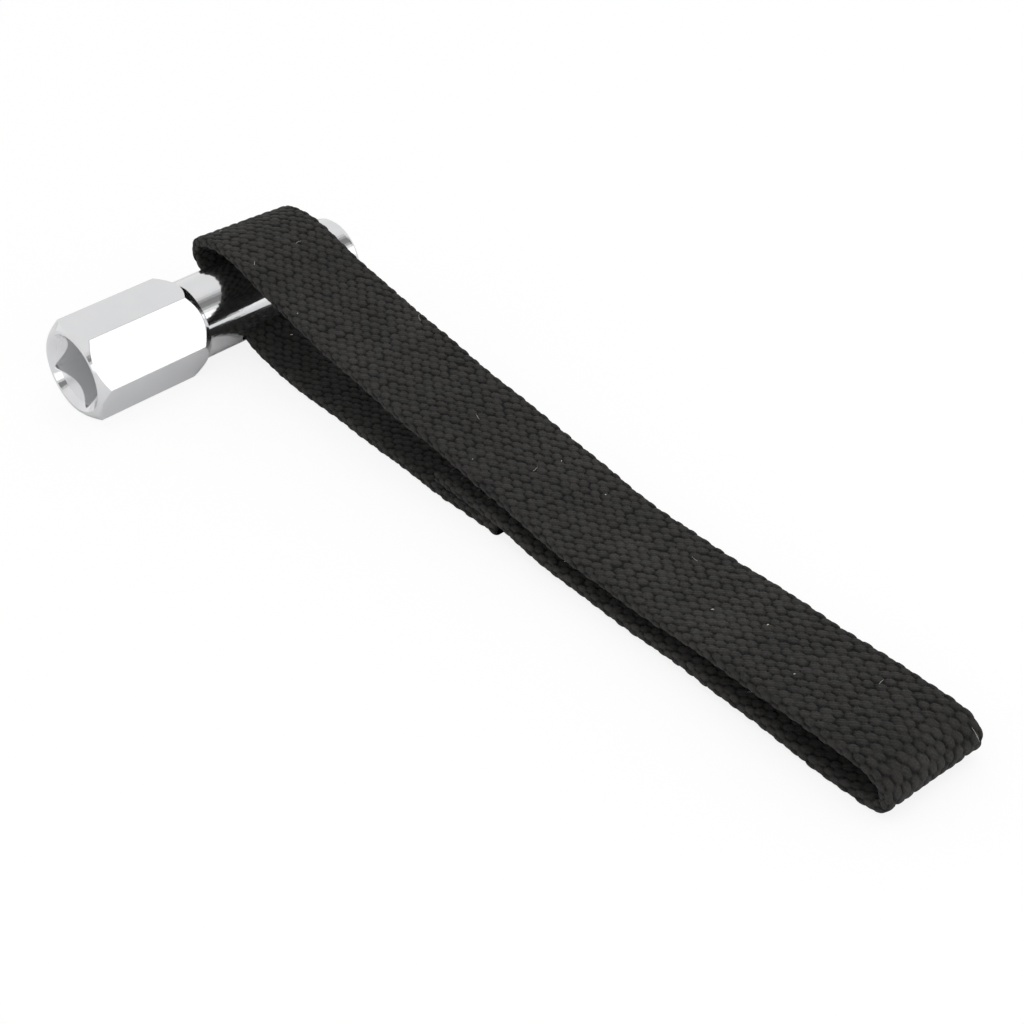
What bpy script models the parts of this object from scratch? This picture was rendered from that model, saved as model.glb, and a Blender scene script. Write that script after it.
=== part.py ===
"""Strap wrench: a chromed drive bar with a slot, and one strip of webbing sewn into a loop through it.

Frame: the bar's axis runs along +Y, away from the socket's mouth, the loop reaches out along +X and the
whole part rests on Z = 0, with the origin below the middle of its bounding box. Sizes and places below are
in millimetres, with X measured from the bar's axis and Y from the socket's mouth. MM turns them into
metres, and CENTRE moves them to the origin.
"""

import math

import bpy
import numpy as np

MM = 0.001
CENTRE = (95.785, 38.5, 0.0)

# Drive bar
AXIS_Z = 10.5  # height of the bar's axis: the hexagon rests on one flat
HEX_AF = 21.0  # across flats, for a 21 mm spanner
HEX_CHAMFER_END_R = 9.95  # radius of the hexagon's front face
HEX_CHAMFER_SLOPE = 1.1  # rise of the front chamfer, per millimetre along the bar
HEX_BACK_START = 27.6  # where the rear chamfer starts at the corners
HEX_END = 30.9  # where the rear chamfer ends, in a fine step down to the shaft
SHOULDER = 0.2  # height of that step
SHAFT_R = 9.525
BAR_LENGTH = 77.0
END_CHAMFER = 1.2
DRIVE_AF = 12.75  # square for a 1/2 inch drive
DRIVE_CORNER_R = 0.9
DRIVE_DEPTH = 16.0
COUNTERSINK_R = 9.35  # at the front face, 45 degrees
PILOT_R = 5.6  # drilled hole below the square
PILOT_DEPTH = 19.2
ROUND_SEGMENTS = 96

# Slot through the shaft
SLOT_TILT = 150.0  # degrees from +X towards +Z, square to two of the hexagon's flats
SLOT_CENTRE_Y = 55.2
SLOT_LENGTH = 29.0
SLOT_HEIGHT = 4.4

# Webbing
STRAP_WIDTH = 25.4
STRAP_THICKNESS = 2.7
STRAP_EDGE = 0.6  # how much the selvedges are rounded off
STRAP_SKEW = -5.0  # degrees that the loop leans from square to the bar
LAP_GAP = 0.2
GROUND_Z = 1.4  # middle of the webbing where it lies on the table
LAP_Z = GROUND_Z + STRAP_THICKNESS + LAP_GAP
RUN_GAP = 0.4  # between neighbouring segments

# Middle line of the webbing in the loop's own plane, (distance from the bar's axis, height):
# out of the slot, over the shaft, along the top, round the far fold and back to the lap.
TOP_LINE = [
    (0, AXIS_Z), (-4.33, 13.0), (-8.4, 15.35), (-10.5, 17.1), (-11.1, 19.2), (-10.0, 21.5),
    (-7.4, 23.3), (-3, 24.4), (3, 24.6), (10, 23.7), (17.5, 21.8), (27, 19.4), (40, 17.2),
    (54, 15.4), (68, 13.7), (82, 12.0), (95, 10.4), (107, 8.9), (120, 7.8), (136, 7.4),
    (152, 7.7), (167, 8.2), (182, 8.6), (192, 8.85), (197, 8.75), (200.6, 7.9),
    (202.8, 6.1), (203.3, 4.1), (202.45, 2.45), (200.5, 1.6), (196, GROUND_Z), (189, 1.5),
    (180, 2.0), (168, 2.55), (156, 2.5), (144, 2.0), (134, 2.05), (124, 2.1), (116, 2.6),
    (108, 3.6), (102, 4.2), (98, LAP_Z), (92, LAP_Z), (80, LAP_Z),
]
# The strip's other end: out of the slot's lower mouth and along the table to the lap.
LOW_LINE = [
    (0, AXIS_Z), (4.33, 8.0), (8.66, 5.6), (12.6, 4.0), (17.5, 2.9), (25, 2.15), (35, 1.6),
    (48, GROUND_Z), (60, GROUND_Z), (80, GROUND_Z), (100, GROUND_Z),
]

# Where the loop bends, as distances along each line from the slot's centre
SLOT_END = 10.6
FOLD_BENDS = [10.9, 48.0]
UPPER_BENDS = [48.0, 100.0, 150.0, 198.0]
FAR_BENDS = [198.0, 234.5]
RETURN_BENDS = [234.5, 282.0]
LOWER_BENDS = [10.9, 50.0]
BEYOND_LAP_BENDS = [318.0, 282.0]

# Seam: rows of thread across the lap, each row a top thread, a bottom thread and legs
ROW_PLACES = [84.0, 87.5, 93.0, 96.5]
ROW_LEGS = 7
ROW_WIDTH = 20.0
THREAD = 0.6
THREAD_ROOM = 0.3


# ---- materials ----

def material(name, colour, metallic, roughness):
    made = bpy.data.materials.new(name)
    made.use_nodes = True
    shader = made.node_tree.nodes["Principled BSDF"]
    shader.inputs["Base Color"].default_value = (*colour, 1.0)
    shader.inputs["Metallic"].default_value = metallic
    shader.inputs["Roughness"].default_value = roughness
    return made


def chrome():
    return material("chrome", (0.78, 0.78, 0.79), 1.0, 0.08)


def webbing(number):
    shade = 0.014 + 0.0004 * (number % 5)
    return material(f"webbing_{number:02d}", (shade, shade, shade * 0.96), 0.0, 0.85)


def thread(number):
    return material(f"thread_{number}", (0.012, 0.012, 0.012), 0.0, 0.6)


# ---- mesh helpers ----

def add_mesh(name, points_mm, faces):
    mesh = bpy.data.meshes.new(name)
    moved = [tuple((c - origin) * MM for c, origin in zip(p, CENTRE)) for p in points_mm]
    mesh.from_pydata(moved, [], faces)
    mesh.validate()
    made = bpy.data.objects.new(name, mesh)
    bpy.context.scene.collection.objects.link(made)
    return made


def as_cutter(made):
    made.hide_render = True
    made.display_type = "WIRE"
    return made


def boolean(made, other, operation):
    modifier = made.modifiers.new(f"{operation.lower()}_{other.name}", "BOOLEAN")
    modifier.object = other
    modifier.operation = operation
    modifier.solver = "EXACT"


def lathe(name, profile, apex_y=None):
    """A solid turned about the bar's axis. The profile is (radius, Y), and apex_y closes its far end in a point."""
    points = []
    for radius, y in profile:
        for i in range(ROUND_SEGMENTS):
            turn = 2 * math.pi * (i + 0.5) / ROUND_SEGMENTS
            points.append((radius * math.cos(turn), y, AXIS_Z + radius * math.sin(turn)))
    faces = [tuple(range(ROUND_SEGMENTS))]
    for ring in range(len(profile) - 1):
        a = ring * ROUND_SEGMENTS
        b = a + ROUND_SEGMENTS
        for i in range(ROUND_SEGMENTS):
            j = (i + 1) % ROUND_SEGMENTS
            faces.append((a + i, b + i, b + j, a + j))
    last = (len(profile) - 1) * ROUND_SEGMENTS
    if apex_y is None:
        faces.append(tuple(reversed(range(last, last + ROUND_SEGMENTS))))
    else:
        points.append((0.0, apex_y, AXIS_Z))
        for i in range(ROUND_SEGMENTS):
            faces.append((last + i, last + ROUND_SEGMENTS, last + (i + 1) % ROUND_SEGMENTS))
    return add_mesh(name, points, faces)


def prism(name, outline, start_y, end_y):
    """An outline in X and Z, listed anticlockwise seen from the socket's side, drawn out along the bar."""
    count = len(outline)
    points = [(x, start_y, z) for x, z in outline] + [(x, end_y, z) for x, z in outline]
    faces = [tuple(range(count)), tuple(reversed(range(count, 2 * count)))]
    for i in range(count):
        j = (i + 1) % count
        faces.append((i, i + count, j + count, j))
    return add_mesh(name, points, faces)


# ---- drive bar ----

def turned_bar():
    """The bar as it leaves the lathe: both chamfers of the hexagon, a fine shoulder, the shaft and its round end."""
    corner = HEX_AF / math.sqrt(3)
    wide = corner + 1.0
    foot = SHAFT_R + SHOULDER
    back_slope = (corner - foot) / (HEX_END - HEX_BACK_START)
    end = BAR_LENGTH
    profile = [
        (HEX_CHAMFER_END_R, 0.0),
        (wide, (wide - HEX_CHAMFER_END_R) / HEX_CHAMFER_SLOPE),
        (wide, HEX_BACK_START - (wide - corner) / back_slope),
        (foot, HEX_END),
        (SHAFT_R, HEX_END + 0.1),
        (SHAFT_R, end - END_CHAMFER - 0.5),
        (SHAFT_R - 0.15, end - END_CHAMFER + 0.15),
        (SHAFT_R - 0.55, end - 0.55),
        (SHAFT_R - 1.1, end - 0.12),
        (SHAFT_R - 1.8, end),
    ]
    return lathe("drive_bar", profile)


def hexagon():
    """Six flats. They clear the shaft, which is narrower than the hexagon is across flats."""
    corner = HEX_AF / math.sqrt(3)
    outline = []
    for i in range(6):
        turn = math.radians(60 * i)
        outline.append((corner * math.cos(turn), AXIS_Z + corner * math.sin(turn)))
    return prism("hexagon", outline, -3.0, BAR_LENGTH + 3.0)


def drive_square():
    """The square socket with rounded corners, its sides square to the slot's direction."""
    half = DRIVE_AF / 2
    inner = half - DRIVE_CORNER_R
    outline = []
    for corner in range(4):
        for step in range(5):
            turn = math.radians(90 * corner + 22.5 * step)
            base = math.radians(90 * corner + 45)
            x = inner * math.sqrt(2) * math.cos(base) + DRIVE_CORNER_R * math.cos(turn)
            z = inner * math.sqrt(2) * math.sin(base) + DRIVE_CORNER_R * math.sin(turn)
            outline.append((x, z))
    tilt = math.radians(SLOT_TILT)
    turned = []
    for x, z in outline:
        across = x * math.cos(tilt) - z * math.sin(tilt)
        up = x * math.sin(tilt) + z * math.cos(tilt)
        turned.append((across, AXIS_Z + up))
    return prism("drive_square", turned, -2.0, DRIVE_DEPTH)


def drive_countersink():
    return lathe("drive_countersink", [(COUNTERSINK_R + 2.0, -2.0), (COUNTERSINK_R - 4.2, 4.2)])


def drive_pilot():
    return lathe("drive_pilot", [(PILOT_R, 1.0), (PILOT_R, PILOT_DEPTH - 2.2)], PILOT_DEPTH)


def slot():
    """The slot that the webbing passes through, with round ends, cut right across the shaft."""
    radius = SLOT_HEIGHT / 2
    reach = SLOT_LENGTH / 2 - radius
    outline = []
    for side in (1, -1):
        for step in range(9):
            turn = math.radians(-90 + 22.5 * step) if side > 0 else math.radians(90 + 22.5 * step)
            outline.append((side * reach + radius * math.cos(turn), radius * math.sin(turn)))
    tilt = math.radians(SLOT_TILT)
    along = (math.cos(tilt), math.sin(tilt))
    up = (-math.sin(tilt), math.cos(tilt))
    points = []
    for depth in (-16.0, 16.0):
        for y, height in outline:
            x = along[0] * depth + up[0] * height
            z = AXIS_Z + along[1] * depth + up[1] * height
            points.append((x, SLOT_CENTRE_Y + y, z))
    count = len(outline)
    faces = [tuple(reversed(range(count))), tuple(range(count, 2 * count))]
    for i in range(count):
        j = (i + 1) % count
        faces.append((j, j + count, i + count, i))
    return add_mesh("slot", points, faces)


def drive_bar():
    bar = turned_bar()
    boolean(bar, as_cutter(hexagon()), "INTERSECT")
    boolean(bar, as_cutter(drive_countersink()), "DIFFERENCE")
    boolean(bar, as_cutter(drive_square()), "DIFFERENCE")
    boolean(bar, as_cutter(drive_pilot()), "DIFFERENCE")
    boolean(bar, as_cutter(slot()), "DIFFERENCE")
    bar.data.materials.append(chrome())
    return bar


# ---- webbing ----

class Line:
    """A smooth curve through points of the loop's plane, read by distance along it."""

    def __init__(self, points):
        points = np.array(points, float)
        chords = np.hypot(*np.diff(points, axis=0).T) ** 0.7
        count = len(points)
        system = np.eye(count)
        right = np.zeros((count, 2))
        for i in range(1, count - 1):
            before, after = chords[i - 1], chords[i]
            system[i, i - 1 : i + 2] = before, 2 * (before + after), after
            leave = (points[i + 1] - points[i]) / after
            arrive = (points[i] - points[i - 1]) / before
            right[i] = 6 * (leave - arrive)
        bends = np.linalg.solve(system, right)
        pieces = []
        for i, h in enumerate(chords):
            t = np.linspace(0, h, 200, endpoint=False)[:, None]
            a = h - t
            start = points[i] / h - bends[i] * h / 6
            stop = points[i + 1] / h - bends[i + 1] * h / 6
            cubic = (bends[i] * a**3 + bends[i + 1] * t**3) / (6 * h)
            pieces.append(cubic + start * a + stop * t)
        self.points = np.vstack(pieces + [points[-1:]])
        steps = np.hypot(*np.diff(self.points, axis=0).T)
        self.along = np.concatenate([[0], np.cumsum(steps)])
        self.length = self.along[-1]

    def at(self, distance):
        return np.array([np.interp(distance, self.along, self.points[:, k]) for k in (0, 1)])

    def heading(self, distance):
        """Unit vector along the line."""
        step = self.at(distance + 0.05) - self.at(distance - 0.05)
        return step / np.hypot(*step)

    def turn(self, start, stop):
        """Degrees that the line turns between two places."""
        a, b = self.heading(start), self.heading(stop)
        return abs(math.degrees(math.atan2(a[0] * b[1] - a[1] * b[0], a @ b)))


def to_world(flat, sideways):
    """A point of the loop's plane, moved sideways across the webbing."""
    skew = math.radians(STRAP_SKEW)
    x = flat[0] * math.cos(skew) - sideways * math.sin(skew)
    y = SLOT_CENTRE_Y + flat[0] * math.sin(skew) + sideways * math.cos(skew)
    return (x, y, flat[1])


def cross_section():
    """The webbing's section with its selvedges rounded off, as (sideways, up)."""
    half, up, edge = STRAP_WIDTH / 2, STRAP_THICKNESS / 2, STRAP_EDGE
    return [
        (-half, -up + edge), (-half + edge, -up), (half - edge, -up), (half, -up + edge),
        (half, up - edge), (half - edge, up), (-half + edge, up), (-half, up - edge),
    ]


def ribbon(name, line, start, stop, number):
    """A piece of webbing that follows the line from start to stop."""
    count = 2 + int(line.turn(start, stop) // 7) + int((stop - start) // 9)
    section = cross_section()
    points = []
    for distance in np.linspace(start, stop, count):
        middle = line.at(distance)
        along = line.heading(distance)
        across = np.array([-along[1], along[0]])
        for sideways, up in section:
            points.append(to_world(middle + across * up, sideways))
    size = len(section)
    faces = [tuple(reversed(range(size))), tuple(range((count - 1) * size, count * size))]
    for ring in range(count - 1):
        for i in range(size):
            a = ring * size + i
            b = ring * size + (i + 1) % size
            faces.append((b, b + size, a + size, a))
    made = add_mesh(name, points, faces)
    made.data.materials.append(webbing(number))
    return made


def segments(prefix, line, bends, number):
    """One piece between each pair of neighbouring bends, with a gap at every bend."""
    for i in range(len(bends) - 1):
        low, high = sorted((bends[i], bends[i + 1]))
        ribbon(f"{prefix}_{i + 1}", line, low + RUN_GAP / 2, high - RUN_GAP / 2, number + i)


def in_slot(top, low):
    """The piece that lies in the slot: the first stretch of both lines, end to end."""
    joined = Line([tuple(low.at(d)) for d in (12, 8, 4)] + [tuple(top.at(d)) for d in (0, 4, 8, 12)])
    middle = joined.length / 2
    ribbon("strap_in_slot", joined, middle - SLOT_END + 0.05, middle + SLOT_END - 0.05, 0)


# ---- seam ----

def cells(name, sides, ups, alongs, filled):
    """A solid made of box cells. filled says whether cell (side, up) is solid, the same all along."""
    index = {}
    points = []
    faces = []

    def corner(i, j, k):
        if (i, j, k) not in index:
            index[i, j, k] = len(points)
            points.append(to_world((alongs[k], ups[j]), sides[i]))
        return index[i, j, k]

    def full(i, j):
        return 0 <= i < len(sides) - 1 and 0 <= j < len(ups) - 1 and filled(i, j)

    for i in range(len(sides) - 1):
        for j in range(len(ups) - 1):
            if not full(i, j):
                continue
            faces.append([corner(i, j, 0), corner(i + 1, j, 0), corner(i + 1, j + 1, 0), corner(i, j + 1, 0)])
            faces.append([corner(i, j + 1, 1), corner(i + 1, j + 1, 1), corner(i + 1, j, 1), corner(i, j, 1)])
            if not full(i - 1, j):
                faces.append([corner(i, j, 0), corner(i, j + 1, 0), corner(i, j + 1, 1), corner(i, j, 1)])
            if not full(i + 1, j):
                faces.append([corner(i + 1, j, 1), corner(i + 1, j + 1, 1), corner(i + 1, j + 1, 0), corner(i + 1, j, 0)])
            if not full(i, j - 1):
                faces.append([corner(i, j, 1), corner(i + 1, j, 1), corner(i + 1, j, 0), corner(i, j, 0)])
            if not full(i, j + 1):
                faces.append([corner(i, j + 1, 0), corner(i + 1, j + 1, 0), corner(i + 1, j + 1, 1), corner(i, j + 1, 1)])
    return add_mesh(name, points, [tuple(reversed(f)) for f in faces])


def row_of_thread(name, place, room):
    """One row of the seam: a thread above, a thread below and legs between. room widens it all round."""
    legs = np.linspace(-ROW_WIDTH / 2 + THREAD, ROW_WIDTH / 2 - THREAD, ROW_LEGS)
    half = THREAD / 2 + room
    sides = [v for leg in legs for v in (leg - half, leg + half)]
    bottom = GROUND_Z - STRAP_THICKNESS / 2 + 0.05
    top = LAP_Z + STRAP_THICKNESS / 2 - 0.05
    proud = 1.0 if room else 0.0
    ups = [bottom - proud, bottom + THREAD + room, top - THREAD - room, top + proud]
    return cells(name, sides, ups, (place - half, place + half), lambda i, j: j != 1 or i % 2 == 0)


def lap(top, low):
    """Both layers of the lap, and the thread that joins them."""
    outer = ribbon("strap_lap_outer", low, LOWER_BENDS[-1] + RUN_GAP / 2, low.length, 7)
    inner = ribbon("strap_lap_inner", top, BEYOND_LAP_BENDS[0] + RUN_GAP / 2, top.length, 8)
    for number, place in enumerate(ROW_PLACES, 1):
        row = row_of_thread(f"stitch_row_{number}", place, 0.0)
        row.data.materials.append(thread(number))
        cutter = as_cutter(row_of_thread(f"stitch_room_{number}", place, THREAD_ROOM))
        boolean(outer, cutter, "DIFFERENCE")
        boolean(inner, cutter, "DIFFERENCE")


def strap():
    top = Line(TOP_LINE)
    low = Line(LOW_LINE)
    in_slot(top, low)
    segments("strap_near_fold", top, FOLD_BENDS, 1)
    segments("strap_upper", top, UPPER_BENDS, 2)
    segments("strap_far_fold", top, FAR_BENDS, 3)
    segments("strap_return", top, RETURN_BENDS, 4)
    segments("strap_lower", low, LOWER_BENDS, 5)
    lap(top, low)
    segments("strap_beyond_lap", top, BEYOND_LAP_BENDS, 6)


def main():
    for old in list(bpy.data.objects):
        bpy.data.objects.remove(old, do_unlink=True)
    drive_bar()
    strap()
    bpy.context.view_layer.update()
    for made in bpy.data.objects:
        if made.name == "drive_bar":
            made.data.shade_smooth()
            made.data.set_sharp_from_angle(angle=math.radians(25))


main()
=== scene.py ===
"""Looks of the strap wrench: the woven strap, its seam, the chromed drive bar, the studio and the camera.

Sizes and places are in millimetres as in the CAD: X from the bar's axis, Y from the socket's mouth, Z from
the table. CENTRE moves them to the part's frame and MM turns them into metres.
"""

import math

import bpy
import numpy as np
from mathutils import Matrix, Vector

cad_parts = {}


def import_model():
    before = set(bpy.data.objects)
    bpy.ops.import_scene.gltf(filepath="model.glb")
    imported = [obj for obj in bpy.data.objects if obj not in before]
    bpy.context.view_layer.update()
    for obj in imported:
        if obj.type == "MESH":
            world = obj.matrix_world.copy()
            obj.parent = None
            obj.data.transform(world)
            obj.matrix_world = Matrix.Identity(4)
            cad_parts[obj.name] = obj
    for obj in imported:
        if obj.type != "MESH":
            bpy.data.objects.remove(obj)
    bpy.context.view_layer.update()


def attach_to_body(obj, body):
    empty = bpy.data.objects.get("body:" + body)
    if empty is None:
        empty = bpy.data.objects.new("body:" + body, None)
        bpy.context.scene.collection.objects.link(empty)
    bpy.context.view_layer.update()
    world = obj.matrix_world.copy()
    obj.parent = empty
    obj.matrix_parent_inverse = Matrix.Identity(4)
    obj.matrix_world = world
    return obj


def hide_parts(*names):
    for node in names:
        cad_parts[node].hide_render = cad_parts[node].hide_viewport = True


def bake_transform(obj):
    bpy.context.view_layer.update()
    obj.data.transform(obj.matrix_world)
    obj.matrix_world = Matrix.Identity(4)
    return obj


MM = 0.001
CENTRE = (95.785, 38.5, 0.0)
AXIS_Z = 10.5

# The strip of webbing, as in the CAD
SLOT_CENTRE_Y = 55.2
STRAP_WIDTH = 25.4
STRAP_THICKNESS = 2.7
STRAP_SKEW = -5.0
GROUND_Z = 1.4
LAP_Z = 4.3
TOP_LINE = [
    (0, AXIS_Z), (-4.33, 13.0), (-8.4, 15.35), (-10.5, 17.1), (-11.1, 19.2), (-10.0, 21.5),
    (-7.4, 23.3), (-3, 24.4), (3, 24.6), (10, 23.7), (17.5, 21.8), (27, 19.4), (40, 17.2),
    (54, 15.4), (68, 13.7), (82, 12.0), (95, 10.4), (107, 8.9), (120, 7.8), (136, 7.4),
    (152, 7.7), (167, 8.2), (182, 8.6), (192, 8.85), (197, 8.75), (200.6, 7.9),
    (202.8, 6.1), (203.3, 4.1), (202.45, 2.45), (200.5, 1.6), (196, GROUND_Z), (189, 1.5),
    (180, 2.0), (168, 2.55), (156, 2.5), (144, 2.0), (134, 2.05), (124, 2.1), (116, 2.6),
    (108, 3.6), (102, 4.2), (98, LAP_Z), (92, LAP_Z), (80, LAP_Z),
]
LOW_LINE = [
    (0, AXIS_Z), (4.33, 8.0), (8.66, 5.6), (12.6, 4.0), (17.5, 2.9), (25, 2.15), (35, 1.6),
    (48, GROUND_Z), (60, GROUND_Z), (80, GROUND_Z), (100, GROUND_Z),
]

# Lengths of the strip, by distance from the slot's centre: (start, stop, body, hinge, CAD node). A length
# with a hinge (place, next body, reach) is left tied to no body. None is the strip's end.
LENGTHS = [
    (None, -75, "lap", None, "strap_lap_outer"),
    (-75, -27, "lap", (-50, "bar", 22), None),
    (-27, -8, "bar", None, "strap_lower_1"),
    (-8, 8, "bar", None, "strap_in_slot"),
    (8, 15, "bar", (10.5, "near_fold_1", 2.1), None),
    (15, 26, "near_fold_1", None, "strap_near_fold_1"),
    (26, 73, "near_fold_1", (48, "upper_1", 21), "strap_upper_1"),
    (73, 125, "upper_1", (100, "upper_2", 24), "strap_upper_2"),
    (125, 174, "upper_2", (150, "upper_3", 23), "strap_upper_3"),
    (174, 222, "upper_3", (198, "far_fold_1", 22), "strap_far_fold_1"),
    (222, 230.5, "far_fold_1", None, None),
    (230.5, 238.6, "far_fold_1", (234.5, "return_1", 1.8), "strap_return_1"),
    (238.6, 282, "return_1", None, None),
    (282, 300, "beyond_lap_1", None, "strap_beyond_lap_1"),
    (300, 340, "beyond_lap_1", (318, "lap", 16), None),
    (340, None, "lap", None, "strap_lap_inner"),
]

# Weave: crowns of warp yarn on a staggered lattice that runs round the strip's section
CROWN_PITCH = 3.8  # from one crown to the next along a column
COLUMNS = 48  # round the whole section
CROWN_HALF_LENGTH = 1.18
CROWN_HALF_WIDTH = 1.08
RELIEF = 0.4  # depth of the valleys between crowns
SELVEDGE_R = 0.85
PER_COLUMN = 5  # points of the mesh across one column
RING_STEP = 0.38  # at most this far between the mesh's rings
CORNER_POINTS = 24  # on each rounded edge of the section's outline
PLACE_SCALE = 1.12  # millimetres in a column, for the ply pattern
CHANCE_ROWS = 400  # rows of random crowns, more than the strip has
CHANCE_FIRST = 150  # the row that belongs to the slot's centre
# How far single crowns depart from the lattice: along the strip and across it in millimetres, the whole
# column as a share of the pitch, and their lean, size and height as shares
ALONG_SPREAD = 0.2
ACROSS_SPREAD = 0.13
COLUMN_SPREAD = 0.07
LEAN, LEAN_SPREAD = 0.08, 0.2
SIZE, SIZE_SPREAD = 1.1, 0.14
FULL_SIZE = 1.15
CROWN_FULLNESS = 0.42  # power of a crown's outline: the lower, the flatter its top
HEIGHT_SPREAD = 0.12
HIGHEST = 1.1
# How the whole strip wanders sideways: (millimetres, millimetres per radian, phase)
WANDER = ((0.16, 9.3, 0.7), (0.12, 4.1, 0.0))
# How far the strip's front edge stands above its middle, and its rear edge below, by distance
TWIST_PLACES = (40, 70, 110, 200, 226, 234)
TWIST_LIFTS = (0, -0.7, 0.3, 1.3, 0.9, 0)

# The strip's cut ends: a grid of yarn ends across the cut
END_LEVELS = 6
END_BULGE = 0.00035  # metres, at the middle of the cut
END_UNEVEN = 0.00012
# Weave height given to the cut ends, which sets their tone on the cloth's painted shade and light.
END_RELIEF = 0.45

# Seam
ROW_PLACES = [84.0, 87.5, 93.0, 96.5]
ROW_WIDTH = 20.0
STITCHES = 6
PLY_R = 0.2046  # each of the thread's two plies
PLY_REST = 0.2178  # a ply's middle is no nearer to the table than this
PLY_OFF = 0.12  # from the thread's middle to the middle of a ply
PLY_TURNS = 3.0  # along one stitch
STITCH_RISE = 0.62
STITCH_SINK = 0.55  # how far a stitch's two ends lie below the webbing's face
STITCH_START, STITCH_SPAN = 0.08, 0.84  # shares of a stitch, the rest is the gap to the next one

# Lint
LINT_SPACING = 14.0  # one speck for so many millimetres of strip
LINT_SIDE = 11.5
LINT_INSIDE_FROM = 237  # past here the strip lies on its outer face, so the lint is on the inner one
LINT_INSIDE_SHARE = 0.7  # of the specks on the run out of the slot's lower mouth
SPECK_SHARE = 0.7  # the rest are fibres
SPECK_LONG, FIBRE_LONG = (0.25, 0.7), (1.2, 3.0)
SPECK_R, FIBRE_R = (0.07, 0.12), 0.035

# Bar: its square socket's walls are duller than the plated outside
SOCKET_REACH = 9.1
SOCKET_START, SOCKET_STOP = 1.4, 17.5

# Camera
CAMERA_AT = (312.53, -174.58, 230.71)
CAMERA_TURN, CAMERA_TILT = 45.05, 36.88  # degrees: from +Y towards -X, and down
CAMERA_LENS = 64.8


# ---- small helpers ----

def in_frame(points):
    """Millimetres from the bar to metres in the part's frame."""
    return (np.asarray(points, float) - CENTRE) * MM


def shader_of(name):
    made = bpy.data.materials.new(name)
    made.use_nodes = True
    tree = made.node_tree
    return made, tree, tree.nodes["Principled BSDF"]


def node(tree, kind, values=None, **settings):
    made = tree.nodes.new(kind)
    for key, value in settings.items():
        setattr(made, key, value)
    for key, value in (values or {}).items():
        made.inputs[key].default_value = value
    return made


def ramp(tree, source, stops):
    made = node(tree, "ShaderNodeValToRGB")
    elements = made.color_ramp.elements
    while len(elements) < len(stops):
        elements.new(0.5)
    for element, (place, colour) in zip(elements, stops):
        element.position = place
        element.color = (*colour, 1.0) if len(colour) == 3 else colour
    tree.links.new(source, made.inputs["Fac"])
    return made


def grey(value):
    return (value, value, value)


# ---- materials ----

def cloth_material():
    """Coarse black webbing: crowns a little paler than the valleys, as painted shade in the valleys and
    painted light on the crowns, plied yarn, and a dusty haze.
    """
    made, tree, shader = shader_of("webbing_cloth")
    link = tree.links.new
    relief = node(tree, "ShaderNodeAttribute", attribute_name="relief")
    place = node(tree, "ShaderNodeAttribute", attribute_name="place")
    solid = node(tree, "ShaderNodeTexCoord")

    haze = node(tree, "ShaderNodeTexNoise", {"Scale": 55.0, "Detail": 4.0, "Roughness": 0.6})
    link(solid.outputs["Object"], haze.inputs["Vector"])
    fuzz = node(tree, "ShaderNodeTexNoise", {"Scale": 2600.0, "Detail": 3.0, "Roughness": 0.7})
    link(solid.outputs["Object"], fuzz.inputs["Vector"])
    ply = node(tree, "ShaderNodeTexWave", {"Scale": 0.62, "Distortion": 1.3, "Detail": 2.0,
                                           "Detail Scale": 1.2}, wave_type="BANDS",
               bands_direction="DIAGONAL")
    link(place.outputs["Vector"], ply.inputs["Vector"])

    # Colour by the weave's height: painted shade darkens the valleys and painted light pales the crowns.
    base = ramp(tree, relief.outputs["Fac"], [
        (0.0, (0.0068, 0.0065, 0.0062)), (0.35, (0.015, 0.0144, 0.0138)),
        (0.7, (0.027, 0.0262, 0.025)), (1.0, (0.0375, 0.0362, 0.0345)),
    ])
    hazed = node(tree, "ShaderNodeMix", data_type="RGBA", blend_type="MULTIPLY")
    hazed.inputs["Factor"].default_value = 1.0
    tone = ramp(tree, haze.outputs["Fac"], [(0.3, grey(0.78)), (0.7, (1.2, 1.19, 1.17))])
    link(base.outputs["Color"], hazed.inputs[6])
    link(tone.outputs["Color"], hazed.inputs[7])
    fibred = node(tree, "ShaderNodeMix", data_type="RGBA", blend_type="MULTIPLY")
    fibred.inputs["Factor"].default_value = 1.0
    specks = ramp(tree, fuzz.outputs["Fac"], [(0.25, grey(0.6)), (0.5, grey(1.0)), (0.75, grey(1.45))])
    link(hazed.outputs[2], fibred.inputs[6])
    link(specks.outputs["Color"], fibred.inputs[7])
    link(fibred.outputs[2], shader.inputs["Base Color"])

    rough = ramp(tree, fuzz.outputs["Fac"], [(0.2, grey(0.95)), (0.8, grey(0.78))])
    link(rough.outputs["Color"], shader.inputs["Roughness"])
    shader.inputs["Specular IOR Level"].default_value = 0.18
    shader.inputs["Sheen Weight"].default_value = 0.05
    shader.inputs["Sheen Roughness"].default_value = 0.5

    plies = node(tree, "ShaderNodeBump", {"Strength": 0.5, "Distance": 0.00012})
    link(ply.outputs["Fac"], plies.inputs["Height"])
    fibres = node(tree, "ShaderNodeBump", {"Strength": 0.6, "Distance": 0.00008})
    link(fuzz.outputs["Fac"], fibres.inputs["Height"])
    link(plies.outputs["Normal"], fibres.inputs["Normal"])
    link(fibres.outputs["Normal"], shader.inputs["Normal"])
    return made


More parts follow.
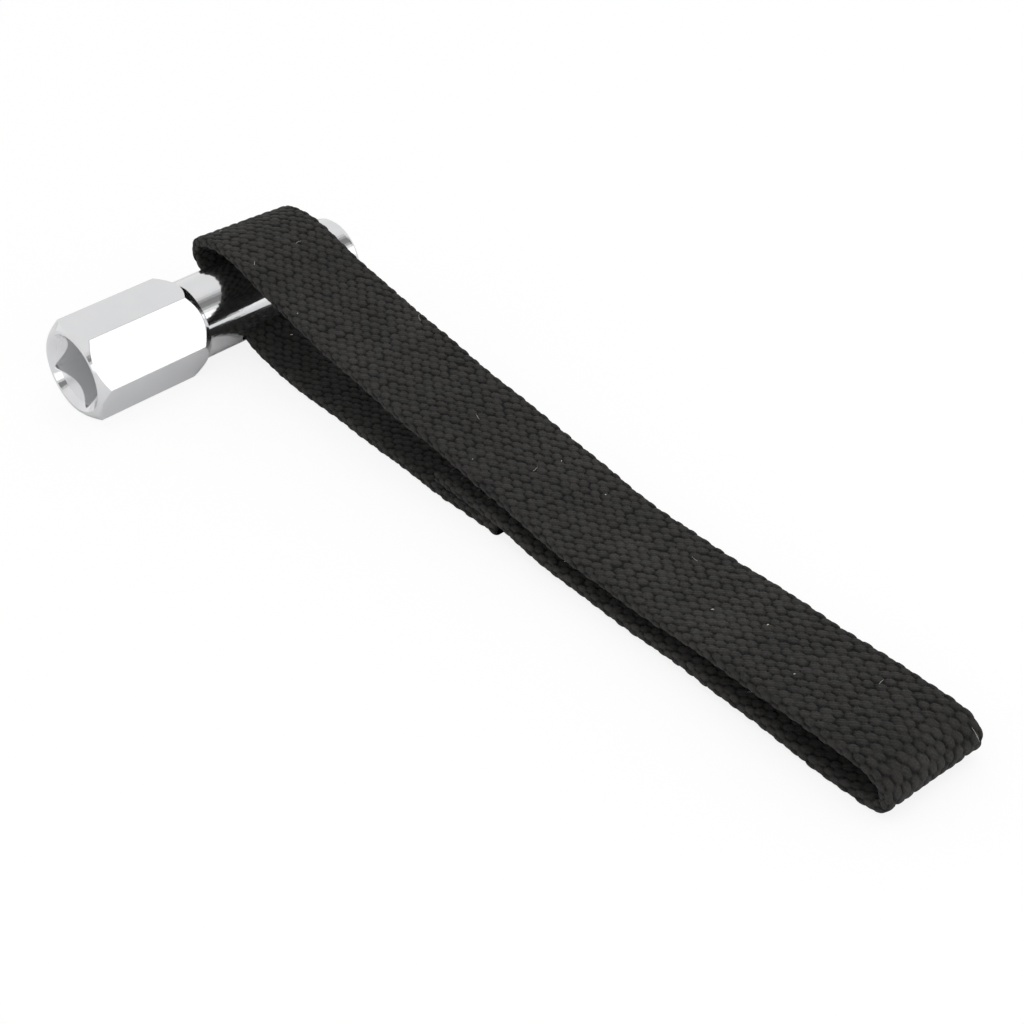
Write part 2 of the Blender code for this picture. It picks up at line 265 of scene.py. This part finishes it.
def thread_material():
    made, tree, shader = shader_of("seam_thread")
    coord = node(tree, "ShaderNodeTexCoord")
    noise = node(tree, "ShaderNodeTexNoise", {"Scale": 3500.0, "Detail": 3.0})
    tree.links.new(coord.outputs["Object"], noise.inputs["Vector"])
    colour = ramp(tree, noise.outputs["Fac"], [(0.3, grey(0.012)), (0.7, grey(0.04))])
    tree.links.new(colour.outputs["Color"], shader.inputs["Base Color"])
    shader.inputs["Roughness"].default_value = 0.55
    bump = node(tree, "ShaderNodeBump", {"Strength": 0.5, "Distance": 0.00005})
    tree.links.new(noise.outputs["Fac"], bump.inputs["Height"])
    tree.links.new(bump.outputs["Normal"], shader.inputs["Normal"])
    return made


def lint_material():
    made, tree, shader = shader_of("lint")
    coord = node(tree, "ShaderNodeTexCoord")
    noise = node(tree, "ShaderNodeTexNoise", {"Scale": 900.0})
    tree.links.new(coord.outputs["Object"], noise.inputs["Vector"])
    colour = ramp(tree, noise.outputs["Fac"], [(0.35, (0.5, 0.47, 0.38)), (0.65, (0.8, 0.79, 0.76))])
    tree.links.new(colour.outputs["Color"], shader.inputs["Base Color"])
    shader.inputs["Roughness"].default_value = 0.8
    return made


def socket_mask(tree, place):
    """1 on the walls of the bar's square socket and 0 elsewhere."""
    link = tree.links.new
    parts = node(tree, "ShaderNodeSeparateXYZ")
    link(place, parts.inputs["Vector"])
    off_x = node(tree, "ShaderNodeMath", {1: CENTRE[0] * MM}, operation="ADD")
    off_z = node(tree, "ShaderNodeMath", {1: -AXIS_Z * MM}, operation="ADD")
    flat = node(tree, "ShaderNodeCombineXYZ")
    reach = node(tree, "ShaderNodeVectorMath", operation="LENGTH")
    link(parts.outputs["X"], off_x.inputs[0])
    link(parts.outputs["Z"], off_z.inputs[0])
    link(off_x.outputs["Value"], flat.inputs["X"])
    link(off_z.outputs["Value"], flat.inputs["Z"])
    link(flat.outputs["Vector"], reach.inputs[0])
    near = node(tree, "ShaderNodeMath", {1: SOCKET_REACH * MM}, operation="LESS_THAN")
    link(reach.outputs["Value"], near.inputs[0])
    inside = node(tree, "ShaderNodeMath", {1: (SOCKET_START - CENTRE[1]) * MM}, operation="GREATER_THAN")
    ahead = node(tree, "ShaderNodeMath", {1: (SOCKET_STOP - CENTRE[1]) * MM}, operation="LESS_THAN")
    for test in (inside, ahead):
        link(parts.outputs["Y"], test.inputs[0])
    both = node(tree, "ShaderNodeMath", operation="MULTIPLY")
    link(inside.outputs["Value"], both.inputs[0])
    link(ahead.outputs["Value"], both.inputs[1])
    mask = node(tree, "ShaderNodeMath", operation="MULTIPLY")
    link(near.outputs["Value"], mask.inputs[0])
    link(both.outputs["Value"], mask.inputs[1])
    return mask.outputs["Value"]


def chrome_material():
    """Bright chrome plate with slightly rounded edges, a faint waviness from polishing and fine wear."""
    made, tree, shader = shader_of("chrome_plate")
    link = tree.links.new
    coord = node(tree, "ShaderNodeTexCoord")
    cloud = node(tree, "ShaderNodeTexNoise", {"Scale": 120.0, "Detail": 5.0, "Roughness": 0.62})
    link(coord.outputs["Object"], cloud.inputs["Vector"])
    grain = node(tree, "ShaderNodeTexNoise", {"Scale": 1500.0, "Detail": 2.0})
    link(coord.outputs["Object"], grain.inputs["Vector"])
    colour = ramp(tree, cloud.outputs["Fac"], [(0.3, (0.855, 0.86, 0.875)), (0.7, (0.885, 0.888, 0.895))])
    link(colour.outputs["Color"], shader.inputs["Base Color"])
    rough = ramp(tree, cloud.outputs["Fac"], [(0.35, grey(0.06)), (0.75, grey(0.13))])
    worn = node(tree, "ShaderNodeMath", {1: 0.22}, operation="MULTIPLY_ADD")
    link(rough.outputs["Color"], worn.inputs[2])
    link(worn.outputs["Value"], shader.inputs["Roughness"])
    socket = socket_mask(tree, coord.outputs["Object"])
    duller = node(tree, "ShaderNodeMath", {1: -0.4, 2: 1.0}, operation="MULTIPLY_ADD")
    link(socket, duller.inputs[0])
    link(socket, worn.inputs[0])
    link(duller.outputs["Value"], shader.inputs["Metallic"])
    rounded = node(tree, "ShaderNodeBevel", {"Radius": 0.00028}, samples=8)
    wavy = node(tree, "ShaderNodeBump", {"Strength": 0.05, "Distance": 0.0002})
    link(grain.outputs["Fac"], wavy.inputs["Height"])
    link(rounded.outputs["Normal"], wavy.inputs["Normal"])
    link(wavy.outputs["Normal"], shader.inputs["Normal"])
    return made


# ---- the strip of webbing ----

class Line:
    """A smooth curve through points of the loop's plane, read by distance along it."""

    def __init__(self, points):
        points = np.array(points, float)
        chords = np.hypot(*np.diff(points, axis=0).T) ** 0.7
        count = len(points)
        system = np.eye(count)
        right = np.zeros((count, 2))
        for i in range(1, count - 1):
            before, after = chords[i - 1], chords[i]
            system[i, i - 1 : i + 2] = before, 2 * (before + after), after
            leave = (points[i + 1] - points[i]) / after
            arrive = (points[i] - points[i - 1]) / before
            right[i] = 6 * (leave - arrive)
        bends = np.linalg.solve(system, right)
        pieces = []
        for i, h in enumerate(chords):
            t = np.linspace(0, h, 200, endpoint=False)[:, None]
            a = h - t
            start = points[i] / h - bends[i] * h / 6
            stop = points[i + 1] / h - bends[i + 1] * h / 6
            cubic = (bends[i] * a**3 + bends[i + 1] * t**3) / (6 * h)
            pieces.append(cubic + start * a + stop * t)
        self.points = np.vstack(pieces + [points[-1:]])
        steps = np.hypot(*np.diff(self.points, axis=0).T)
        self.along = np.concatenate([[0], np.cumsum(steps)])
        self.length = self.along[-1]

    def at(self, distance):
        columns = [np.interp(distance, self.along, self.points[:, k]) for k in (0, 1)]
        return np.stack(columns, axis=-1)


class Strip:
    """The whole strip, read by distance from the slot's centre: above 0 over the bar and along the top,
    below 0 out of the slot's lower mouth."""

    def __init__(self):
        self.top = Line(TOP_LINE)
        self.low = Line(LOW_LINE)
        self.first = -self.low.length
        self.last = self.top.length

    def at(self, distance):
        distance = np.asarray(distance, float)
        above = self.top.at(np.maximum(distance, 0))
        below = self.low.at(np.maximum(-distance, 0))
        return np.where((distance >= 0)[..., None], above, below)

    def heading(self, distance):
        distance = np.asarray(distance, float)
        low = np.clip(distance - 0.25, self.first, self.last)
        high = np.clip(distance + 0.25, self.first, self.last)
        step = self.at(high) - self.at(low)
        return step / np.linalg.norm(step, axis=-1, keepdims=True)

    def twist(self, distance, sideways):
        """How far the strip stands above its line: its two edges don't lie quite level on the upper run."""
        return -np.interp(distance, TWIST_PLACES, TWIST_LIFTS) * sideways / STRAP_WIDTH

    def place(self, distance, sideways, up):
        """Points on the strip in the part's frame, in metres. up is the height over its middle, towards the
        loop's outer side."""
        distance, sideways, up = np.broadcast_arrays(distance, sideways, up)
        middle = self.at(distance)
        along = self.heading(distance)
        across = np.stack([-along[..., 1], along[..., 0]], axis=-1)
        flat = middle + across * up[..., None]
        skew = math.radians(STRAP_SKEW)
        x = flat[..., 0] * math.cos(skew) - sideways * math.sin(skew)
        y = SLOT_CENTRE_Y + flat[..., 0] * math.sin(skew) + sideways * math.cos(skew)
        return in_frame(np.stack([x, y, flat[..., 1] + self.twist(distance, sideways)], axis=-1))


def section():
    """The strip's section as evenly spaced points (sideways, up), their outward normals, and their places
    round it in columns of the weave. It starts at one selvedge's middle and goes under first."""
    half, up, r = STRAP_WIDTH / 2, STRAP_THICKNESS / 2, SELVEDGE_R
    outline = []
    for cx, cz, start in ((-half + r, -up + r, 180), (half - r, -up + r, 270),
                          (half - r, up - r, 0), (-half + r, up - r, 90)):
        for turn in np.radians(np.linspace(start, start + 90, CORNER_POINTS)):
            outline.append((cx + r * math.cos(turn), cz + r * math.sin(turn)))
    outline = np.array([(-half, 0.0)] + outline + [(-half, 0.0)])
    steps = np.hypot(*np.diff(outline, axis=0).T)
    along = np.concatenate([[0], np.cumsum(steps)])
    count = COLUMNS * PER_COLUMN
    where = np.arange(count) / count * along[-1]
    points = np.stack([np.interp(where, along, outline[:, k]) for k in (0, 1)], axis=1)
    step = 0.2
    ahead = np.stack([np.interp((where + step) % along[-1], along, outline[:, k]) for k in (0, 1)], axis=1)
    back = np.stack([np.interp((where - step) % along[-1], along, outline[:, k]) for k in (0, 1)], axis=1)
    way = ahead - back
    normals = np.stack([way[:, 1], -way[:, 0]], axis=1)
    normals /= np.linalg.norm(normals, axis=1, keepdims=True)
    return points, normals, np.arange(count) / PER_COLUMN


def weave(distance, column):
    """Height of the weave, 0 in its valleys and 1 on its crowns."""
    chance = np.random.default_rng(11).uniform(-1, 1, (CHANCE_ROWS, COLUMNS, 5))
    best = np.zeros(np.broadcast(distance, column).shape)
    pitch = (2 * (STRAP_WIDTH + STRAP_THICKNESS) - 8 * SELVEDGE_R + 2 * math.pi * SELVEDGE_R) / COLUMNS
    base = np.floor(column).astype(int)
    for side in (-1, 0, 1, 2):
        k = base + side
        wrapped = k % COLUMNS
        shift = 0.5 * (k % 2) + COLUMN_SPREAD * chance[7, wrapped, 4]
        nearest = np.round(distance / CROWN_PITCH - shift).astype(int)
        for extra in (-1, 0, 1):
            i = nearest + extra
            c = chance[(i + CHANCE_FIRST) % CHANCE_ROWS, wrapped]
            away = (distance - (i + shift) * CROWN_PITCH - ALONG_SPREAD * c[..., 0]) / CROWN_HALF_LENGTH
            beside = ((column - k) * pitch - ACROSS_SPREAD * c[..., 1]) / CROWN_HALF_WIDTH
            lean = away + (LEAN + LEAN_SPREAD * c[..., 4]) * beside
            size = SIZE + SIZE_SPREAD * c[..., 2]
            dome = (np.maximum(0, size - lean**2 - beside**2) / FULL_SIZE) ** CROWN_FULLNESS
            best = np.maximum(best, dome * (1 + HEIGHT_SPREAD * c[..., 3]))
    return np.clip(best, 0, HIGHEST)


def lengths(strip):
    """LENGTHS with the strip's own ends filled in."""
    for start, stop, *rest in LENGTHS:
        yield strip.first if start is None else start, strip.last if stop is None else stop, *rest


def attach(piece, strip, body, hinge):
    """Ties a piece to the body it rides on; a piece with a hinge is tied to no body."""
    if hinge is None:
        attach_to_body(piece, body)
        return
    where, other, reach = hinge
    a = strip.place(where - reach, 0.0, 0.0)
    b = strip.place(where + reach, 0.0, 0.0)
    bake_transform(piece)


def strip_pieces(strip, cloth):
    cuts = list(lengths(strip))
    points, normals, column = section()
    count = len(points)
    rings, spans = [], []
    for start, stop, *_ in cuts:
        steps = max(2, math.ceil((stop - start) / RING_STEP))
        first = len(rings) - 1 if rings else 0
        new = list(np.linspace(start, stop, steps + 1))
        rings += new[1:] if rings else new
        spans.append((first, len(rings) - 1))
    distance = np.array(rings)[:, None]
    height = weave(distance, column[None, :])
    wander = sum(size * np.sin(distance / pace + phase) for size, pace, phase in WANDER)
    sunk = -RELIEF * (1 - height)
    sideways = points[None, :, 0] + normals[None, :, 0] * sunk + wander
    up = points[None, :, 1] + normals[None, :, 1] * sunk
    grid = strip.place(distance, sideways, up)
    ahead = np.gradient(grid, axis=0)
    around = np.roll(grid, -1, axis=1) - np.roll(grid, 1, axis=1)
    facing = np.cross(around, ahead)
    facing /= np.linalg.norm(facing, axis=2, keepdims=True)
    for number, ((_, _, body, hinge, cad), (low, high)) in enumerate(zip(cuts, spans), 1):
        rows = high - low + 1
        block = grid[low : high + 1].reshape(-1, 3)
        normal = facing[low : high + 1].reshape(-1, 3)
        heights = height[low : high + 1].ravel()
        places = np.stack([np.repeat(np.array(rings)[low : high + 1], count),
                           np.tile(column * PLACE_SCALE, rows), np.zeros(rows * count)], axis=1)
        i = np.arange(rows - 1)[:, None] * count
        j = np.arange(count)[None, :]
        k = (j + 1) % count
        faces = np.stack([i + j, i + k, i + k + count, i + j + count], axis=2).reshape(-1, 4)
        cap = []
        if number in (1, len(cuts)):
            block, normal, heights, places, cap = cut_end(block, normal, heights, places, rows, number == 1)
        mesh = bpy.data.meshes.new(f"webbing_{number:02d}")
        mesh.from_pydata(block.tolist(), [], faces.tolist() + cap)
        mesh.shade_smooth()
        # The weave's height, which the cloth's colour also reads for its painted shade in the valleys and
        # painted light on the crowns.
        relief = mesh.attributes.new("relief", "FLOAT", "POINT")
        relief.data.foreach_set("value", heights.astype(np.float32))
        place = mesh.attributes.new("place", "FLOAT_VECTOR", "POINT")
        place.data.foreach_set("vector", places.astype(np.float32).ravel())
        mesh.normals_split_custom_set_from_vertices(normal.tolist())
        mesh.materials.append(cloth)
        piece = bpy.data.objects.new(mesh.name, mesh)
        bpy.context.scene.collection.objects.link(piece)
        attach(piece, strip, body, hinge)
        if cad:
            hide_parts(cad)


def cut_end(block, normal, heights, places, rows, at_start):
    """Closes the strip's cut end with a field of yarn ends, which stand out unevenly."""
    count = len(block) // rows
    chance = np.random.default_rng(5 if at_start else 6)
    ring = block[:count] if at_start else block[-count:]
    inner = block[count : 2 * count] if at_start else block[-2 * count : -count]
    outward = (ring - inner).mean(axis=0)
    outward /= np.linalg.norm(outward)
    half = count // 2
    lower = np.arange(0, half + 1)
    upper = (count - lower) % count
    added = []
    index = {}
    base = rows * count
    for step in range(END_LEVELS + 1):
        share = step / END_LEVELS
        for i in range(half + 1):
            a, b = ring[lower[i]], ring[upper[i]]
            lift = END_BULGE * math.sin(math.pi * share) * (0.6 + 0.8 * chance.uniform())
            lift += END_UNEVEN * chance.normal() if 0 < step < END_LEVELS else 0.0
            added.append(a * (1 - share) + b * share + outward * lift)
            index[step, i] = base + len(added) - 1
    cap = []
    for step in range(END_LEVELS):
        for i in range(half):
            face = [index[step, i], index[step, i + 1], index[step + 1, i + 1], index[step + 1, i]]
            cap.append(face if at_start else face[::-1])
    added = np.array(added)
    size = len(added)
    return (np.vstack([block, added]), np.vstack([normal, np.tile(outward, (size, 1))]),
            np.concatenate([heights, np.full(size, END_RELIEF)]),
            np.vstack([places, np.zeros((size, 3))]), cap)


# ---- seam and lint ----

def tube(path, radius, sides=8):
    """Points and faces of a round thread along a path in metres. radius is one value or one per point."""
    path = np.asarray(path, float)
    way = np.gradient(path, axis=0)
    way /= np.linalg.norm(way, axis=1, keepdims=True)
    other = np.array([0.0, 0.0, 1.0]) if abs(way[0][2]) < 0.9 else np.array([1.0, 0.0, 0.0])
    one = np.cross(way, other)
    one /= np.linalg.norm(one, axis=1, keepdims=True)
    two = np.cross(way, one)
    turns = 2 * math.pi * np.arange(sides) / sides
    shape = np.cos(turns)[None, :, None] * one[:, None] + np.sin(turns)[None, :, None] * two[:, None]
    radius = np.broadcast_to(radius, len(path))
    points = (path[:, None] + shape * radius[:, None, None]).reshape(-1, 3)
    faces = []
    for i in range(len(path) - 1):
        for j in range(sides):
            k = (j + 1) % sides
            faces.append((i * sides + j, i * sides + k, (i + 1) * sides + k, (i + 1) * sides + j))
    faces.append(tuple(reversed(range(sides))))
    faces.append(tuple(range((len(path) - 1) * sides, len(path) * sides)))
    return points, faces


def thread_piece(name, parts, material, body):
    points, faces, base = [], [], 0
    for some, its in parts:
        points.append(some)
        faces += [tuple(v + base for v in face) for face in its]
        base += len(some)
    mesh = bpy.data.meshes.new(name)
    mesh.from_pydata(np.vstack(points).tolist(), [], faces)
    mesh.shade_smooth()
    mesh.validate()
    mesh.materials.append(material)
    piece = bpy.data.objects.new(name, mesh)
    bpy.context.scene.collection.objects.link(piece)
    if body:
        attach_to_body(piece, body)
    return piece


def seam(strip, material):
    """Four rows of stitches across the lap, each a chain of short arcs above and below it."""
    middle = (GROUND_Z + LAP_Z) / 2 - GROUND_Z
    rise = middle + STRAP_THICKNESS / 2
    for row, place in enumerate(ROW_PLACES, 1):
        parts = []
        for face in (1, -1):
            for stitch in range(STITCHES):
                t = np.linspace(0, 1, 17)
                across = -ROW_WIDTH / 2 + (stitch + STITCH_START + STITCH_SPAN * t) * ROW_WIDTH / STITCHES
                up = middle + face * (rise - STITCH_SINK + STITCH_RISE * np.sin(math.pi * t) ** 0.5)
                for ply in (0, 1):
                    twist = 2 * math.pi * (PLY_TURNS * t + ply / 2)
                    along = -place + PLY_OFF * np.cos(twist)
                    path = strip.place(along, across, -(up + PLY_OFF * np.sin(twist)))
                    path[:, 2] = np.maximum(path[:, 2], PLY_REST * MM)
                    parts.append(tube(path, PLY_R * MM))
        piece = thread_piece(f"seam_row_{row}", parts, material, "lap")
        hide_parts(f"stitch_row_{row}")


def lint(strip, material):
    """Specks of dust and short fibres caught in the weave."""
    chance = np.random.default_rng(23)
    for number, (start, stop, body, hinge, _) in enumerate(lengths(strip), 1):
        parts = []
        for _ in range(chance.poisson(max(0.0, stop - start) / LINT_SPACING)):
            place, side = chance.uniform(start, stop), chance.uniform(-LINT_SIDE, LINT_SIDE)
            inside = start > LINT_INSIDE_FROM or (start < 0 and chance.uniform() < LINT_INSIDE_SHARE)
            face = -1 if inside else 1
            long = chance.uniform(*(SPECK_LONG if chance.uniform() < SPECK_SHARE else FIBRE_LONG))
            turn, curl = chance.uniform(0, math.pi), chance.uniform(-0.5, 0.5)
            t = np.linspace(-0.5, 0.5, 7)
            along = place + long * (t * math.cos(turn) - curl * t * t * math.sin(turn))
            across = side + long * (t * math.sin(turn) + curl * t * t * math.cos(turn))
            up = face * (STRAP_THICKNESS / 2 - 0.03 + 0.05 * np.cos(5 * t))
            path = strip.place(np.clip(along, start, stop), across, up)
            thick = chance.uniform(*SPECK_R) if long < 1 else FIBRE_R
            parts.append(tube(path, thick * MM * (1 - 3.2 * t * t), 6))
        if parts:
            piece = thread_piece(f"lint_{number:02d}", parts, material, None)
            attach(piece, strip, body, hinge)


# ---- studio ----

def studio():
    """A white table in a light tent. Around the bar's axis the tent is grey above, with a dark seam between
    its top and its bright right-hand side."""
    scene = bpy.context.scene
    scene.view_settings.view_transform = "Standard"
    world = bpy.data.worlds.new("tent")
    scene.world = world
    world.use_nodes = True
    tree = world.node_tree
    link = tree.links.new
    coord = node(tree, "ShaderNodeTexCoord")
    split = node(tree, "ShaderNodeSeparateXYZ")
    link(coord.outputs["Generated"], split.inputs["Vector"])
    angle = node(tree, "ShaderNodeMath", operation="ARCTAN2")
    link(split.outputs["Z"], angle.inputs[0])
    link(split.outputs["X"], angle.inputs[1])
    share = node(tree, "ShaderNodeMath", {1: 1 / math.pi}, operation="MULTIPLY")
    link(angle.outputs["Value"], share.inputs[0])
    stops = [(0, 0.85), (4, 1.05), (10, 1.3), (30, 1.3), (38, 0.92), (46, 0.5), (52, 0.24), (66, 0.22),
             (72, 0.42), (82, 0.74), (95, 0.80), (140, 0.78), (180, 0.85)]
    tone = ramp(tree, share.outputs["Value"], [(a / 180, grey(v)) for a, v in stops])
    back = tree.nodes["Background"]
    link(tone.outputs["Color"], back.inputs["Color"])
    back.inputs["Strength"].default_value = 1.0

    mesh = bpy.data.meshes.new("table")
    reach = 1.6
    mesh.from_pydata([(-reach, -reach, 0), (reach, -reach, 0), (reach, reach, 0), (-reach, reach, 0)],
                     [], [(0, 1, 2, 3)])
    table = bpy.data.objects.new("table", mesh)
    scene.collection.objects.link(table)
    made, tree, shader = shader_of("table_white")
    shader.inputs["Base Color"].default_value = (0.9, 0.9, 0.9, 1)
    shader.inputs["Roughness"].default_value = 0.7
    shader.inputs["Specular IOR Level"].default_value = 0.1
    path = node(tree, "ShaderNodeLightPath")
    glow = node(tree, "ShaderNodeEmission", {"Color": (1, 1, 1, 1), "Strength": 1.06})
    both = node(tree, "ShaderNodeMixShader")
    seen = node(tree, "ShaderNodeMath", {1: 0.8}, operation="MULTIPLY")
    tree.links.new(path.outputs["Is Camera Ray"], seen.inputs[0])
    tree.links.new(seen.outputs["Value"], both.inputs["Fac"])
    tree.links.new(shader.outputs["BSDF"], both.inputs[1])
    tree.links.new(glow.outputs["Emission"], both.inputs[2])
    tree.links.new(both.outputs["Shader"], tree.nodes["Material Output"].inputs["Surface"])
    mesh.materials.append(made)

    lamp = bpy.data.lights.new("softbox", "AREA")
    lamp.energy = 2.2
    lamp.size = 0.9
    box = bpy.data.objects.new("softbox", lamp)
    box.location = (0.25, 0.1, 1.1)
    box.rotation_euler = (Vector((0, 0, 0)) - Vector(box.location)).to_track_quat("-Z", "Y").to_euler()
    box.visible_glossy = False
    scene.collection.objects.link(box)


def camera():
    """Above and to the right of the socket, looking along the bar and across the loop."""
    data = bpy.data.cameras.new("camera")
    data.sensor_width = 36.0
    data.lens = CAMERA_LENS
    data.clip_start = 0.01
    data.clip_end = 10.0
    made = bpy.data.objects.new("camera", data)
    turn, tilt = math.radians(CAMERA_TURN), math.radians(CAMERA_TILT)
    way = Vector((-math.sin(turn) * math.cos(tilt), math.cos(turn) * math.cos(tilt), -math.sin(tilt)))
    made.location = tuple(in_frame(CAMERA_AT))
    made.rotation_euler = way.to_track_quat("-Z", "Y").to_euler()
    bpy.context.scene.collection.objects.link(made)
    bpy.context.scene.camera = made


# ---- the whole scene ----

def main():
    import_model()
    strip = Strip()
    strip_pieces(strip, cloth_material())
    seam(strip, thread_material())
    lint(strip, lint_material())
    bar = bpy.data.objects["drive_bar"]
    chrome = chrome_material()
    for slot in bar.material_slots:
        slot.material = chrome
    studio()
    camera()


main()
